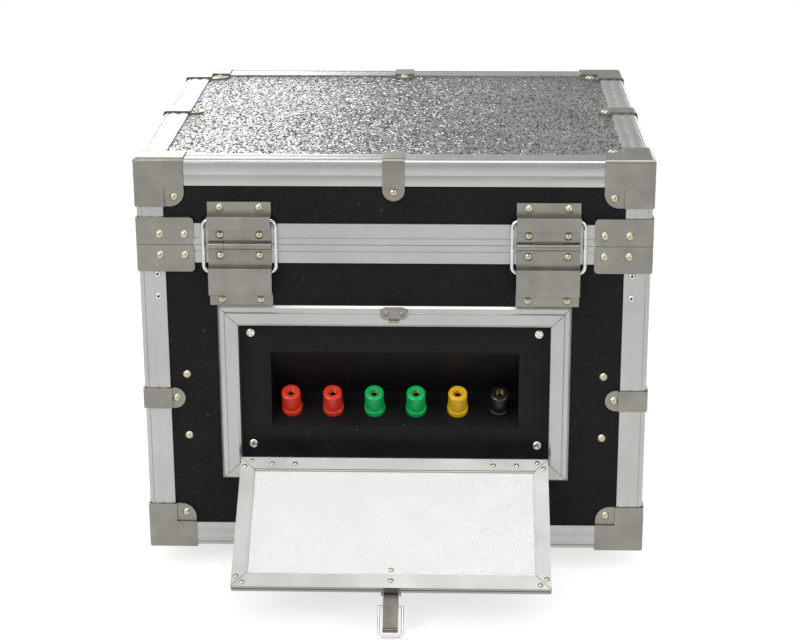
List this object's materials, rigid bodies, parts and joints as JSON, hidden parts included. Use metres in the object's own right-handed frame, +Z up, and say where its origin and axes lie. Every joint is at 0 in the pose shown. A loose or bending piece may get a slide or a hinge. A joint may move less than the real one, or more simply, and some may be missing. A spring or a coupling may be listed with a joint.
{
  "type": "hipot tester",
  "caption": "High-voltage insulation tester in a lidded transport case with metal edges, stay hinges and a fold-out hatch over coloured binding posts.",
  "frame": {"origin": "centre of the footprint on the floor, with the hatch hanging open", "axes": "+Z up; the terminal side with the hatch faces -Y; +X to the right seen from that side"},
  "size_m": [0.504, 0.557, 0.4137],
  "materials": {
    "panel_black": "matte black laminate on plywood",
    "lid_laminate": "black pebble-embossed laminate",
    "trim_aluminium": "satin anodised extrusion",
    "fitting_steel": "plated pressed steel",
    "wire_zinc": "bright zinc-plated wire",
    "rivet_steel": "plated dome heads",
    "foot_rubber": "moulded rubber",
    "liner_aluminium": "diamond-embossed sheet",
    "bay_plastic": "glossy black moulding",
    "cap_red": "moulded insulator",
    "cap_green": "moulded insulator",
    "cap_yellow": "moulded insulator",
    "cap_black": "moulded insulator",
    "post_base": "moulded insulators in the caps' colours",
    "socket_brass": "turned brass",
    "grip_black": "sleeved rod",
    "deck_grey": "powder-coated sheet",
    "screen_black": "screen in a bezel",
    "button_green": "moulded button",
    "button_red": "moulded button",
    "knob_black": "moulded knob",
    "core_iron": "laminated iron and winding",
    "board_green": "circuit board"
  },
  "bodies": {
    "base": {"bottom_panel": "panel_black", "front_wall": "panel_black", "rear_wall": "panel_black", "side_walls": "panel_black", "base_edge_trims": "trim_aluminium", "base_rim": "trim_aluminium", "base_corners": "fitting_steel", "base_brackets": "fitting_steel", "base_rivets": "rivet_steel", "rubber_feet": "foot_rubber", "hinge_lower_leaves": "fitting_steel", "hinge_pins": "wire_zinc", "hatch_frame": "trim_aluminium", "hatch_keeper": "fitting_steel", "frame_hinge_leaves": "fitting_steel", "terminal_panel": "bay_plastic", "post_bases": "post_base", "post_sockets": "socket_brass", "front_latch_plates": "fitting_steel", "handle_plates": "fitting_steel", "operator_panel": "deck_grey", "display": "screen_black", "mains_inlet": "bay_plastic", "transformer": "core_iron", "control_board": "board_green"},
    "lid": {"lid_top": "lid_laminate", "lid_walls": "panel_black", "lid_edge_trims": "trim_aluminium", "lid_rim": "trim_aluminium", "lid_corners": "fitting_steel", "lid_brackets": "fitting_steel", "lid_rivets": "rivet_steel", "hinge_upper_leaves": "fitting_steel", "front_keepers": "fitting_steel"},
    "stay_left": {"stay_wire_left": "wire_zinc"},
    "stay_right": {"stay_wire_right": "wire_zinc"},
    "hatch": {"door_frame": "trim_aluminium", "door_panel": "panel_black", "door_liner": "liner_aluminium", "door_rivets": "rivet_steel", "door_hinge_leaves": "fitting_steel", "door_latch_plate": "fitting_steel"},
    "hatch_lever": {"door_latch_lever": "fitting_steel"},
    "hatch_bail": {"door_latch_bail": "wire_zinc"},
    "latch_left": {"front_lever_left": "fitting_steel"},
    "latch_right": {"front_lever_right": "fitting_steel"},
    "bail_left": {"front_bail_left": "wire_zinc"},
    "bail_right": {"front_bail_right": "wire_zinc"},
    "handle_left": {"handle_left": "grip_black"},
    "handle_right": {"handle_right": "grip_black"},
    "power_rocker": {"power_rocker": "button_red"},
    "start_button": {"start_button": "button_green"},
    "stop_button": {"stop_button": "button_red"},
    "voltage_knob": {"voltage_knob": "knob_black"},
    "cap_red_outer": {"cap_red_outer": "cap_red"},
    "cap_red_inner": {"cap_red_inner": "cap_red"},
    "cap_green_left": {"cap_green_left": "cap_green"},
    "cap_green_right": {"cap_green_right": "cap_green"},
    "cap_yellow": {"cap_yellow": "cap_yellow"},
    "cap_black": {"cap_black": "cap_black"}
  },
  "joints": [
    {"name": "lid_hinge", "type": "hinge", "parent": "base", "child": "lid", "pos_m": [0, -0.13213, 0.3305], "axis": [1, 0, 0], "range_deg": [0, 90]},
    {"name": "stay_left_swing", "type": "hinge", "parent": "base", "child": "stay_left", "pos_m": [-0.143, -0.09798, 0.29635], "axis": [1, 0, 0], "range_deg": [0, 30]},
    {"name": "stay_right_swing", "type": "hinge", "parent": "base", "child": "stay_right", "pos_m": [0.143, -0.09798, 0.29635], "axis": [1, 0, 0], "range_deg": [0, 30]},
    {"name": "hatch_hinge", "type": "hinge", "parent": "base", "child": "hatch", "pos_m": [0, -0.13533, 0.1135], "axis": [1, 0, 0], "range_deg": [-125, 0]},
    {"name": "hatch_lever_turn", "type": "hinge", "parent": "hatch", "child": "hatch_lever", "pos_m": [0, -0.2421, 0.03532], "axis": [1, 0, 0], "range_deg": [0, 170]},
    {"name": "hatch_bail_turn", "type": "hinge", "parent": "hatch_lever", "child": "hatch_bail", "pos_m": [0, -0.2527, 0.02472], "axis": [1, 0, 0], "range_deg": [-170, 0]},
    {"name": "latch_left_turn", "type": "hinge", "parent": "base", "child": "latch_left", "pos_m": [-0.12, 0.27287, 0.3075], "axis": [-1, 0, 0], "range_deg": [0, 170]},
    {"name": "bail_left_turn", "type": "hinge", "parent": "latch_left", "child": "bail_left", "pos_m": [-0.12, 0.27548, 0.32227], "axis": [-1, 0, 0], "range_deg": [-170, 0]},
    {"name": "handle_left_swing", "type": "hinge", "parent": "base", "child": "handle_left", "pos_m": [-0.2455, 0.07037, 0.237], "axis": [0, 1, 0], "range_deg": [0, 90]},
    {"name": "latch_right_turn", "type": "hinge", "parent": "base", "child": "latch_right", "pos_m": [0.12, 0.27287, 0.3075], "axis": [-1, 0, 0], "range_deg": [0, 170]},
    {"name": "bail_right_turn", "type": "hinge", "parent": "latch_right", "child": "bail_right", "pos_m": [0.12, 0.27548, 0.32227], "axis": [-1, 0, 0], "range_deg": [-170, 0]},
    {"name": "handle_right_swing", "type": "hinge", "parent": "base", "child": "handle_right", "pos_m": [0.2455, 0.07037, 0.237], "axis": [0, -1, 0], "range_deg": [0, 90]},
    {"name": "cap_red_outer_turn", "type": "hinge", "parent": "base", "child": "cap_red_outer", "pos_m": [-0.1, -0.10451, 0.16181], "axis": [0, -0.5, 0.866], "continuous": true},
    {"name": "cap_red_inner_turn", "type": "hinge", "parent": "base", "child": "cap_red_inner", "pos_m": [-0.06, -0.10451, 0.16181], "axis": [0, -0.5, 0.866], "continuous": true},
    {"name": "cap_green_left_turn", "type": "hinge", "parent": "base", "child": "cap_green_left", "pos_m": [-0.02, -0.10451, 0.16181], "axis": [0, -0.5, 0.866], "continuous": true},
    {"name": "cap_green_right_turn", "type": "hinge", "parent": "base", "child": "cap_green_right", "pos_m": [0.02, -0.10451, 0.16181], "axis": [0, -0.5, 0.866], "continuous": true},
    {"name": "cap_yellow_turn", "type": "hinge", "parent": "base", "child": "cap_yellow", "pos_m": [0.06, -0.10451, 0.16181], "axis": [0, -0.5, 0.866], "continuous": true},
    {"name": "cap_black_turn", "type": "hinge", "parent": "base", "child": "cap_black", "pos_m": [0.1, -0.10451, 0.16181], "axis": [0, -0.5, 0.866], "continuous": true},
    {"name": "power_rocker_tilt", "type": "hinge", "parent": "base", "child": "power_rocker", "pos_m": [0.15, -0.01963, 0.3085], "axis": [0, -1, 0], "range_deg": [0, 10]},
    {"name": "start_button_press", "type": "slide", "parent": "base", "child": "start_button", "axis": [0, 0, -1], "range_m": [0, 0.003], "stiffness_N_per_m": 300},
    {"name": "stop_button_press", "type": "slide", "parent": "base", "child": "stop_button", "axis": [0, 0, -1], "range_m": [0, 0.003], "stiffness_N_per_m": 300},
    {"name": "voltage_knob_turn", "type": "hinge", "parent": "base", "child": "voltage_knob", "pos_m": [0.15, 0.11037, 0.3085], "axis": [0, 0, 1], "range_deg": [-300, 0]}
  ],
  "couplings": [
    {"joint": "stay_left_swing", "follows": "lid_hinge", "ratio": 0.33333},
    {"joint": "stay_right_swing", "follows": "lid_hinge", "ratio": 0.33333},
    {"joint": "hatch_bail_turn", "follows": "hatch_lever_turn", "ratio": -1},
    {"joint": "bail_left_turn", "follows": "latch_left_turn", "ratio": -1},
    {"joint": "bail_right_turn", "follows": "latch_right_turn", "ratio": -1}
  ]
}
